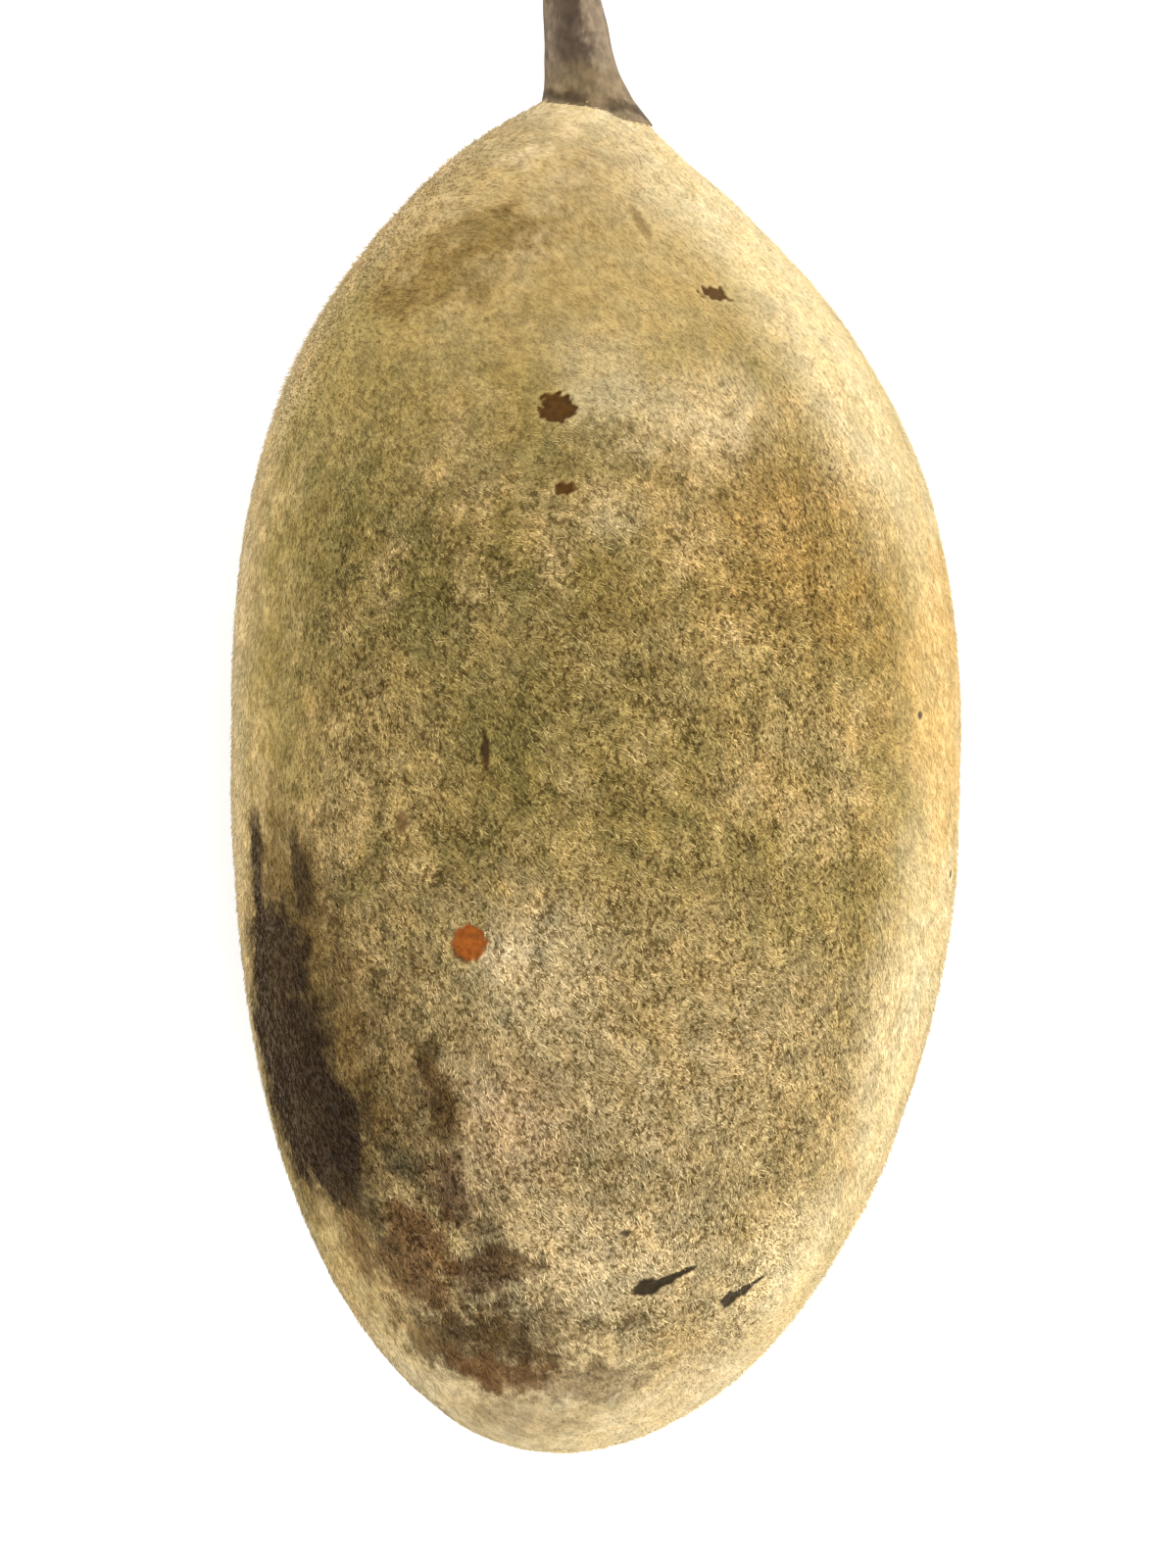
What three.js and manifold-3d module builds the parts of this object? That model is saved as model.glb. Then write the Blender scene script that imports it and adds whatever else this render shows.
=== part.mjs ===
// A baobab fruit pod with a cut length of its stalk, lying on its side.
// Millimetres, +Z up. The pod's long axis runs along Y: the stalk leaves at +Y
// and the blossom end points to -Y. The origin is the centre of the small flat
// spot that the pod rests on, right under its widest section.
import * as THREE from "three";
import { mergeVertices } from "three/addons/utils/BufferGeometryUtils.js";
import Module from "manifold-3d";

// The pod's own shape, measured along its axis from the widest section.
const POD_RADIUS = 51.4; // half of the greatest width
const POD_HEIGHT_SHARE = 0.97; // the lying pod is a little lower than it is wide
const TIP_LENGTH = 94; // widest section to the blossom end, half an ellipse
const NECK_LENGTH = 100.1; // widest section to where the shoulders would meet
const NECK_POWER = 2.97; // how late the shoulders fall away towards the neck
const CROWN_RADIUS = 5.2; // the blunt top that the stalk covers
const CROWN_RISE = 1.6;

// The axis is bowed sideways, and the neck leans back the other way.
const AXIS_BOW = 5.5e-4; // mm sideways per mm squared along the axis
const NECK_LEAN = 0.0275; // mm sideways per mm squared past its start
const NECK_LEAN_START = 84.5;

// The worn spot on which the pod rests.
const REST_DEPTH = 0.6; // how deep the flat cuts into the round side
const AXIS_HEIGHT = POD_RADIUS * POD_HEIGHT_SHARE - REST_DEPTH;

// The stalk: a woody shank that flares where it grips the neck.
const SHANK_RADIUS = 3.8;
const FLARE_RADIUS = 3.2; // added to the shank at the seat
const FLARE_FADE = 6.6; // mm along the stalk in which the flare falls to 1/e
const FLARE_BIAS = 0.2; // the flare is stronger towards +X
const SEAT_AT = 94.3; // where the flare meets the shoulders
const SEAT_X = -1.6;
const STALK_LEAN = 0.115; // mm towards -X per mm along the stalk
const STALK_BOW = 0.0022; // mm upwards per mm squared along the stalk
const STALK_END = 136;
const CUT_ANGLE = 0.24; // the knife's slant at the cut end, in radians
const HIDDEN_ROOT = 3; // how far the stalk's lathe starts below the seat
const JOIN_GAP = 0.3; // the stalk's underside stays this far off the neck

const POD_SIDES = 48;
const POD_RINGS_PER_HALF = 17;
const STALK_SIDES = 24;
const STALK_RINGS = 14;
const RING_CROWDING = 1.6; // the stalk's rings crowd towards its flare

const wasm = await Module();
wasm.setup();

/** The pod's radius at y along its axis, grown all over by grow. */
function podRadius(y, grow = 0) {
  const radius = POD_RADIUS + grow;
  return y < 0
    ? radius * Math.sqrt(Math.max(0, 1 - (y / (TIP_LENGTH + grow)) ** 2))
    : radius * (1 - (y / (NECK_LENGTH + grow)) ** NECK_POWER);
}

/** Where along the axis the shoulders have narrowed to a radius. */
function neckWhere(radius, grow = 0) {
  const share = 1 - radius / (POD_RADIUS + grow);
  return (NECK_LENGTH + grow) * share ** (1 / NECK_POWER);
}

/** The sideways place of the pod's axis at y. */
function podAxisX(y) {
  const past = Math.max(0, y - NECK_LEAN_START);
  return -AXIS_BOW * y * y + NECK_LEAN * past * past;
}

/** The pod's outline from the blossom end to the crown, as radius and y. */
function podOutline(grow = 0) {
  const outline = [];
  for (let i = 0; i < POD_RINGS_PER_HALF; i++) {
    const turn = (i / POD_RINGS_PER_HALF) * (Math.PI / 2);
    const y = -(TIP_LENGTH + grow) * Math.cos(turn);
    outline.push(new THREE.Vector2(podRadius(y, grow), y));
  }
  const crown = neckWhere(CROWN_RADIUS, grow);
  for (let i = 0; i <= POD_RINGS_PER_HALF; i++) {
    const y = (crown * i) / POD_RINGS_PER_HALF;
    outline.push(new THREE.Vector2(podRadius(y, grow), y));
  }
  outline.push(new THREE.Vector2(0, crown + CROWN_RISE));
  return outline;
}

/** How much the flare adds to the shank at y. */
function flare(y) {
  return FLARE_RADIUS * Math.exp(-(y - SEAT_AT) / FLARE_FADE);
}

/** The stalk's outline from its hidden root to past the cut, as radius and y. */
function stalkOutline() {
  const root = SEAT_AT - HIDDEN_ROOT;
  const top = STALK_END + 2 * SHANK_RADIUS * Math.tan(CUT_ANGLE);
  const outline = [new THREE.Vector2(0, root)];
  for (let i = 0; i <= STALK_RINGS; i++) {
    const y = root + (top - root) * (i / STALK_RINGS) ** RING_CROWDING;
    outline.push(new THREE.Vector2(SHANK_RADIUS + flare(y), y));
  }
  outline.push(new THREE.Vector2(0, top));
  return outline;
}

/** Turns an outline about Y, then moves each vertex by what shift says. */
function turned(outline, sides, shift) {
  const geometry = new THREE.LatheGeometry(outline, sides);
  const place = geometry.getAttribute("position");
  const vertex = new THREE.Vector3();
  for (let i = 0; i < place.count; i++) {
    shift(vertex.fromBufferAttribute(place, i));
    place.setXYZ(i, vertex.x, vertex.y, vertex.z);
  }
  return geometry;
}

/** The pod round its bowed axis, grown all over by grow. */
function podGeometry(grow = 0) {
  return turned(podOutline(grow), POD_SIDES, (vertex) => {
    vertex.x += podAxisX(vertex.y);
    vertex.z *= POD_HEIGHT_SHARE;
  });
}

/** The stalk with its lean, its bow and its one-sided flare, not yet cut. */
function stalkGeometry() {
  return turned(stalkOutline(), STALK_SIDES, (vertex) => {
    const along = vertex.y - SEAT_AT;
    vertex.x += SEAT_X - STALK_LEAN * along + FLARE_BIAS * flare(vertex.y);
    vertex.z += STALK_BOW * Math.max(0, along) ** 2;
  });
}

/** A geometry as a manifold-3d solid. */
function solidOf(geometry) {
  const bare = geometry.clone();
  bare.deleteAttribute("normal");
  bare.deleteAttribute("uv");
  const merged = mergeVertices(bare, 1e-3);
  return new wasm.Manifold(
    new wasm.Mesh({
      numProp: 3,
      vertProperties: merged.getAttribute("position").array,
      triVerts: new Uint32Array(merged.index.array),
    }),
  );
}

/** A manifold-3d solid as a geometry. */
function geometryOf(solid) {
  const mesh = solid.getMesh();
  const geometry = new THREE.BufferGeometry()
    .setAttribute("position", new THREE.BufferAttribute(mesh.vertProperties, 3))
    .setIndex(new THREE.BufferAttribute(mesh.triVerts, 1));
  geometry.computeVertexNormals();
  return geometry;
}

/** The pod with its resting spot cut flat. */
function restingPod() {
  const slab = 4 * POD_RADIUS;
  const ground = new THREE.BoxGeometry(slab, slab, slab);
  ground.translate(0, 0, -AXIS_HEIGHT - slab / 2);
  return geometryOf(solidOf(podGeometry()).subtract(solidOf(ground)));
}

/** The stalk, hollowed to sit on the neck and cut at a slant. */
function cutStalk() {
  const blade = 12 * SHANK_RADIUS;
  const knife = new THREE.BoxGeometry(blade, blade, blade);
  knife.translate(0, blade / 2, 0);
  knife.rotateZ(CUT_ANGLE);
  const along = STALK_END - SEAT_AT;
  knife.translate(SEAT_X - STALK_LEAN * along, STALK_END, 0);
  return geometryOf(
    solidOf(stalkGeometry())
      .subtract(solidOf(podGeometry(JOIN_GAP)))
      .subtract(solidOf(knife)),
  );
}

const velvet = new THREE.MeshStandardMaterial({
  color: 0xa39468,
  roughness: 0.95,
  metalness: 0,
});
const wood = new THREE.MeshStandardMaterial({
  color: 0x78695a,
  roughness: 0.85,
  metalness: 0,
});

const pod = new THREE.Mesh(restingPod(), velvet);
pod.name = "pod";

const stalk = new THREE.Mesh(cutStalk(), wood);
stalk.name = "stalk";

const fruit = new THREE.Group();
fruit.add(pod, stalk);
fruit.position.z = AXIS_HEIGHT;

const lyingFruit = new THREE.Group();
lyingFruit.add(fruit);

export default lyingFruit;
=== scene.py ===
"""Dresses a baobab pod and its cut stalk, which lie on their side on a pale studio floor.

The pod is a woody shell with lumps, scabs and stains under a coat of short felt hairs. The hairs are
real geometry, grown in several coats, and they take their colour from the same patches as the skin
below them. The stalk is a wrinkled, flaring shank with a knife cut at its end.
"""

import logging
import math
from collections.abc import Iterable, Mapping
from dataclasses import dataclass
from enum import Enum

import bmesh
import bpy
from mathutils import Matrix, Vector, noise


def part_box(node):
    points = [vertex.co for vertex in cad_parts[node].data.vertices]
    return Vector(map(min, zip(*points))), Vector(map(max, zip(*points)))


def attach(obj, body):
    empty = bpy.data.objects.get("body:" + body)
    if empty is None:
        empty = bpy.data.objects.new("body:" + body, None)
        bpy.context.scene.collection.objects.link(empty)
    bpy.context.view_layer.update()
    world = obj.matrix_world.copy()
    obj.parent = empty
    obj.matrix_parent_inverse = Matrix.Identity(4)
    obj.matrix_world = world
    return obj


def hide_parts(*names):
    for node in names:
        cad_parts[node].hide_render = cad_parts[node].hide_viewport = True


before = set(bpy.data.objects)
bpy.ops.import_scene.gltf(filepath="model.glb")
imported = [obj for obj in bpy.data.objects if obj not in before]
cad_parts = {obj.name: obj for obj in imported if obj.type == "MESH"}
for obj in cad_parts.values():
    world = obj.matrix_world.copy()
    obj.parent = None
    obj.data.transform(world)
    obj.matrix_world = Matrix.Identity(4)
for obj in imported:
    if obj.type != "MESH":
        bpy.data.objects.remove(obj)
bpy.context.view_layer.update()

MM = 0.001
BAKE_MAP = "OFBake"  # the map name that a baked copy of a piece reads its colours through
SHADE = "shade"  # the attribute that holds how pale each hair is
MARKS = "marks"  # the colour attribute that holds the shell's small marks
FELT = "felt"  # the attribute that says how densely felt grows on the shell
WELD = 1e-7  # corners closer than this, in metres, are one corner
COATS = 6  # how many coats of hairs the pod has

log = logging.getLogger("pod")

Colour = tuple[float, float, float]


def linear(channel: float) -> float:
    """Turns one channel into linear light.

    Args:
        channel: the channel as a display shows it, 0 to 255.

    Returns:
        Its share of full light.
    """
    share = channel / 255
    return share / 12.92 if share <= 0.04045 else ((share + 0.055) / 1.055) ** 2.4


def display(red: float, green: float, blue: float) -> Colour:
    """Turns a colour as a display shows it, 0 to 255, into linear light."""
    return linear(red), linear(green), linear(blue)


def smooth_step(low: float, high: float, value: float) -> float:
    """Rises smoothly from 0 at low to 1 at high."""
    share = min(1.0, max(0.0, (value - low) / (high - low)))
    return share * share * (3 - 2 * share)


# ---------------------------------------------------------------------------------------------
# Node graphs
# ---------------------------------------------------------------------------------------------


class Value:
    """An output socket that Python's operators work on: each adds its node to the graph."""

    def __init__(self, graph: "Graph", socket: bpy.types.NodeSocket) -> None:
        """Wraps a socket of a graph."""
        self.graph = graph
        self.socket = socket

    def _joined(self, operation: str, first: object, second: object) -> "Value":
        """Adds a Math node, or a Vector Math node if either side is a vector or a colour.

        Args:
            operation: the node's operation.
            first: the left side.
            second: the right side.

        Returns:
            The node's output.
        """
        kind = "ShaderNodeVectorMath" if is_wide(first) or is_wide(second) else "ShaderNodeMath"
        return self.graph.value(kind, {"operation": operation}, {0: first, 1: second})

    def __add__(self, other: object) -> "Value":
        """Adds."""
        return self._joined("ADD", self, other)

    def __radd__(self, other: object) -> "Value":
        """Adds, with the value on the right."""
        return self._joined("ADD", other, self)

    def __sub__(self, other: object) -> "Value":
        """Subtracts."""
        return self._joined("SUBTRACT", self, other)

    def __rsub__(self, other: object) -> "Value":
        """Subtracts the value from something else."""
        return self._joined("SUBTRACT", other, self)

    def __mul__(self, other: object) -> "Value":
        """Multiplies."""
        return self._joined("MULTIPLY", self, other)

    def __rmul__(self, other: object) -> "Value":
        """Multiplies, with the value on the right."""
        return self._joined("MULTIPLY", other, self)

    def __truediv__(self, other: object) -> "Value":
        """Divides."""
        return self._joined("DIVIDE", self, other)

    def __mod__(self, other: object) -> "Value":
        """Takes the remainder."""
        return self._joined("FLOORED_MODULO", self, other)

    def maximum(self, other: object) -> "Value":
        """The larger of the two."""
        return self._joined("MAXIMUM", self, other)

    def apply(self, operation: str) -> "Value":
        """Adds a Math node of one input, such as SINE or FLOOR."""
        return self.graph.value("ShaderNodeMath", {"operation": operation}, {0: self})

    def length(self) -> "Value":
        """The length of a vector."""
        node = self.graph.node("ShaderNodeVectorMath", {"operation": "LENGTH"}, {0: self})
        return Value(self.graph, node.outputs["Value"])

    def dot(self, other: object) -> "Value":
        """The dot product with another vector."""
        node = self.graph.node("ShaderNodeVectorMath", {"operation": "DOT_PRODUCT"}, {0: self, 1: other})
        return Value(self.graph, node.outputs["Value"])

    def axis(self, name: str) -> "Value":
        """One axis of a vector, X, Y or Z."""
        node = self.graph.node("ShaderNodeSeparateXYZ", values={0: self})
        return Value(self.graph, node.outputs[name])

    def step(self, low: float, high: float) -> "Value":
        """Rises smoothly from 0 at low to 1 at high."""
        settings = {"interpolation_type": "SMOOTHSTEP"}
        return self.graph.value("ShaderNodeMapRange", settings, {0: self, 1: low, 2: high, 3: 0.0, 4: 1.0})

    def span(self, low: float, high: float) -> "Value":
        """Spreads a share, 0 to 1, over low to high."""
        return self.graph.value("ShaderNodeMapRange", {}, {0: self, 1: 0.0, 2: 1.0, 3: low, 4: high})


def is_wide(side: object) -> bool:
    """Says whether a side of a sum is a vector or a colour, and not a number."""
    if isinstance(side, Value):
        return side.socket.type in ("VECTOR", "RGBA")
    return isinstance(side, (tuple, Vector))


class Graph:
    """A node tree that short Python expressions fill."""

    def __init__(self, tree: bpy.types.NodeTree) -> None:
        """Starts filling a tree."""
        self.tree = tree

    def node(
        self,
        kind: str,
        settings: Mapping[str, object] | None = None,
        values: Mapping[int | str, object] | None = None,
    ) -> bpy.types.Node:
        """Adds a node.

        Args:
            kind: the node's type.
            settings: the node's own properties, which are set first.
            values: what goes into each input, by its number or name.

        Returns:
            The new node.
        """
        made = self.tree.nodes.new(kind)
        for name, setting in (settings or {}).items():
            setattr(made, name, setting)
        for name, given in (values or {}).items():
            self.feed(self.input_of(made, name), given)
        return made

    def input_of(self, node: bpy.types.Node, name: int | str) -> bpy.types.NodeSocket:
        """Finds an input that is in use, by its number among all inputs or by its name."""
        if isinstance(name, int):
            return node.inputs[name]
        return next(s for s in node.inputs if s.enabled and name in (s.name, s.identifier))

    def feed(self, socket: bpy.types.NodeSocket, given: object) -> None:
        """Links a value to a socket, or sets the socket to something plain.

        Args:
            socket: the input socket.
            given: a value to link, or a plain number, tuple or object.
        """
        if isinstance(given, Value):
            self.tree.links.new(given.socket, socket)
        elif socket.type in ("VECTOR", "RGBA") and isinstance(given, (int, float)):
            socket.default_value = (given,) * len(socket.default_value)
        elif socket.type == "RGBA":
            socket.default_value = (*given[:3], 1.0)
        else:
            socket.default_value = given

    def value(
        self,
        kind: str,
        settings: Mapping[str, object] | None = None,
        values: Mapping[int | str, object] | None = None,
        output: int | str = 0,
    ) -> Value:
        """Adds a node and returns one of its outputs.

        Args:
            kind: the node's type.
            settings: the node's own properties, which are set first.
            values: what goes into each input.
            output: the number or name of the output that is wanted.

        Returns:
            The output as a value.
        """
        return Value(self, self.node(kind, settings, values).outputs[output])

    def noise(self, place: Value, size: float, detail: float = 2.0, rough: float = 0.5) -> Value:
        """Cloudy noise.

        Args:
            place: where it is read.
            size: the rough size of its clouds, in metres.
            detail: how many finer layers it has.
            rough: how strong the finer layers are.

        Returns:
            The noise, from 0 to 1.
        """
        values = {"Vector": place, "Scale": 1 / size, "Detail": detail, "Roughness": rough}
        return self.value("ShaderNodeTexNoise", {}, values)

    def vector(self, x: object, y: object, z: object) -> Value:
        """Puts three numbers together as a vector."""
        return self.value("ShaderNodeCombineXYZ", {}, {0: x, 1: y, 2: z})

    def mix(self, first: object, second: object, share: object) -> Value:
        """Mixes two colours.

        Args:
            first: the colour that a share of 0 gives.
            second: the colour that a share of 1 gives.
            share: the share of the second.

        Returns:
            The mixed colour.
        """
        settings = {"data_type": "RGBA", "clamp_factor": True}
        values = {"Factor_Float": share, "A_Color": first, "B_Color": second}
        node = self.node("ShaderNodeMix", settings, values)
        return Value(self, next(s for s in node.outputs if s.identifier == "Result_Color"))


class Finish(Graph):
    """A material's graph, which ends in one Principled shader."""

    def __init__(self, name: str, constants: Mapping[str, object]) -> None:
        """Starts a material.

        Args:
            name: the material's name.
            constants: what is the same all over the surface, by its socket on the Principled shader.
        """
        self.material = bpy.data.materials.new(name)
        self.material.use_nodes = True
        super().__init__(self.material.node_tree)
        self.shader = self.tree.nodes["Principled BSDF"]
        for socket, given in constants.items():
            self.feed(self.shader.inputs[socket], given)
        self.place = self.value("ShaderNodeTexCoord", output="Object")

    def dress(self, colour: Value, roughness: Value | None = None, relief: Value | None = None,
              depth: float = MM) -> bpy.types.Material:
        """Links what varies over the surface to the shader.

        Args:
            colour: the base colour.
            roughness: the roughness, if it varies.
            relief: the height of the fine relief, 0 to 1, if there is any.
            depth: the height of the relief in metres.

        Returns:
            The finished material.
        """
        self.feed(self.shader.inputs["Base Color"], colour)
        if roughness is not None:
            self.feed(self.shader.inputs["Roughness"], roughness)
        if relief is not None:
            values = {"Strength": 1.0, "Distance": depth, "Height": relief}
            self.feed(self.shader.inputs["Normal"], self.value("ShaderNodeBump", {}, values))
        return self.material


# ---------------------------------------------------------------------------------------------
# The pod's form and the patches on it
# ---------------------------------------------------------------------------------------------


@dataclass(frozen=True)
class PodForm:
    """The pod's round body: half an ellipse to the blossom end, shoulders that fall away to the neck.

    Lengths are metres. Along is measured on Y from the widest section, towards the stalk. Around is
    the angle from the pod's top line, towards +X.
    """

    radius: float
    tip_length: float
    axis_height: float
    height_share: float = 0.97
    neck_length: float = 100.1 * MM
    neck_power: float = 2.97
    crown_radius: float = 5.2 * MM
    crown_rise: float = 1.6 * MM
    bow: float = 0.55
    neck_lean: float = 27.5
    neck_lean_start: float = 84.5 * MM

    @classmethod
    def from_box(cls, box: tuple[Vector, Vector]) -> "PodForm":
        """Takes the pod's main sizes from its box in the frame."""
        low, high = (Vector(corner) for corner in box)
        radius = (high.x - low.x) / 2
        return cls(radius, -low.y, high.z - cls.height_share * radius)

    @property
    def crown_at(self) -> float:
        """Where along the axis the blunt crown starts."""
        return self.neck_length * (1 - self.crown_radius / self.radius) ** (1 / self.neck_power)

    def radius_at(self, along: float) -> float:
        """The radius of the section at a place along the axis.

        Args:
            along: the place, in metres from the widest section.

        Returns:
            The radius in metres, which is 0 past either end.
        """
        if along < 0:
            return self.radius * math.sqrt(max(0.0, 1 - (along / self.tip_length) ** 2))
        if along > self.crown_at:
            return self.crown_radius * max(0.0, 1 - (along - self.crown_at) / self.crown_rise)
        return self.radius * (1 - (along / self.neck_length) ** self.neck_power)

    def axis_x(self, along: float) -> float:
        """The sideways place of the bowed axis."""
        past = max(0.0, along - self.neck_lean_start)
        return -self.bow * along**2 + self.neck_lean * past**2

    def settle(self, straight: Vector) -> Vector:
        """Moves a point of a straight, round pod about the Y axis to its place on the real one.

        Args:
            straight: the point on the straight pod.

        Returns:
            The point on the bowed, slightly flattened pod.
        """
        return Vector((
            straight.x + self.axis_x(straight.y),
            straight.y,
            straight.z * self.height_share + self.axis_height,
        ))

    def point(self, around: float, along: float) -> Vector:
        """The point of the outer surface at an angle around and a place along."""
        radius = self.radius_at(along)
        return self.settle(Vector((radius * math.sin(around), along, radius * math.cos(around))))

    def place_at(self, around: float, along: float) -> Matrix:
        """A frame on the surface.

        Args:
            around: the angle from the pod's top line, in radians.
            along: the place along the axis, in metres.

        Returns:
            The frame: X runs around the pod, Y along it and Z out of it.
        """
        nudge, tilt = 0.1 * MM, 0.01
        here = self.point(around, along)
        around_way = (self.point(around + tilt, along) - self.point(around - tilt, along)).normalized()
        along_way = (self.point(around, along + nudge) - self.point(around, along - nudge)).normalized()
        out = around_way.cross(along_way).normalized()
        turned = Matrix((around_way, out.cross(around_way), out)).transposed()
        return Matrix.Translation(here) @ turned.to_4x4()


class Dye(Enum):
    """The colours of the felt, its stains and its scars."""

    OLIVE = display(152, 133, 80)
    TAN = display(176, 153, 105)
    GREEN = display(136, 121, 70)
    MOSS = display(114, 106, 54)
    BROWN = display(136, 112, 62)
    SAND = display(184, 160, 110)
    STRAW = display(177, 154, 113)
    GOLD = display(196, 163, 102)
    OCHRE = display(164, 134, 76)
    CREAM = display(220, 202, 163)
    BONE = display(206, 189, 154)
    GREIGE = display(178, 159, 122)
    ROSE = display(192, 166, 132)
    HALO = display(104, 82, 40)
    STAIN = display(43, 26, 6)
    UMBER = display(88, 66, 34)
    SLATE = display(70, 64, 42)
    PLUM = display(98, 76, 52)
    RUSSET = display(114, 82, 48)
    INK = display(36, 27, 12)
    RUST = display(122, 64, 16)
    SCAB = display(64, 40, 7)
    CHAR = display(50, 33, 12)


@dataclass(frozen=True)
class Patch:
    """An oval patch of another colour on the pod.

    Attributes:
        around: degrees from the pod's top line, towards +X.
        along: millimetres from the widest section, towards the stalk.
        wide: half its size round the pod, in millimetres.
        long: half its size along the pod, in millimetres.
        dye: its colour.
        strength: how much of the colour its middle shows.
        edge: the share of its size over which it fades.
        ragged: how far noise pushes its edge in and out, as a share of its size.
        turn: degrees by which it is turned on the surface.
        felt: how densely felt grows in its middle.
        pit: how deep its middle is sunk, in millimetres.
    """

    around: float
    along: float
    wide: float
    long: float
    dye: Dye
    strength: float = 0.7
    edge: float = 0.6
    ragged: float = 0.5
    turn: float = 0.0
    felt: float = 1.0
    pit: float = 0.0

    def place(self, form: PodForm) -> Matrix:
        """Its frame on the pod."""
        spot = form.place_at(math.radians(self.around), self.along * MM)
        return spot @ Matrix.Rotation(math.radians(self.turn), 4, "Z")

    @property
    def sizes(self) -> Vector:
        """Its half sizes in metres, the last one out of the surface."""
        return Vector((self.wide, self.long, max(self.wide, self.long))) * MM

    def reach(self, form: PodForm, margin: float = 0.0) -> "Reach":
        """Makes a tester of points for the patch.

        Args:
            form: the pod's form.
            margin: how far the patch is widened first, in metres.

        Returns:
            The tester, which says how far out of the patch a point is.
        """
        place = self.place(form)
        return Reach(place.inverted(), place.translation, self.sizes + Vector((margin,) * 3))

    def mask(self, finish: Finish, form: PodForm, wobble: Value) -> Value:
        """How much of the patch a material shows at each point.

        Args:
            finish: the material's graph.
            form: the pod's form.
            wobble: noise from -1 to 1 that pushes the edge in and out.

        Returns:
            The mask, from 0 outside to the patch's strength.
        """
        place = self.place(form)
        values = {
            "Vector": finish.place,
            "Location": place.translation,
            "Rotation": place.to_euler(),
            "Scale": self.sizes,
        }
        local = finish.value("ShaderNodeMapping", {"vector_type": "TEXTURE"}, values)
        out = local.length() + wobble * self.ragged
        return out.step(1 + self.edge, 1 - self.edge) * self.strength


@dataclass(frozen=True)
class Reach:
    """Tells how far a point is from a patch's middle, as a share of the patch's size."""

    inverse: Matrix
    middle: Vector
    sizes: Vector
    far: float = 4.0

    def __call__(self, point: Vector) -> float:
        """Measures a point.

        Args:
            point: the point.

        Returns:
            The share: under 1 inside the patch, over 1 outside, and far for a point well away.
        """
        if (point - self.middle).length > self.far * max(self.sizes):
            return self.far
        local = self.inverse @ point
        return Vector(value / size for value, size in zip(local, self.sizes)).length


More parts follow.
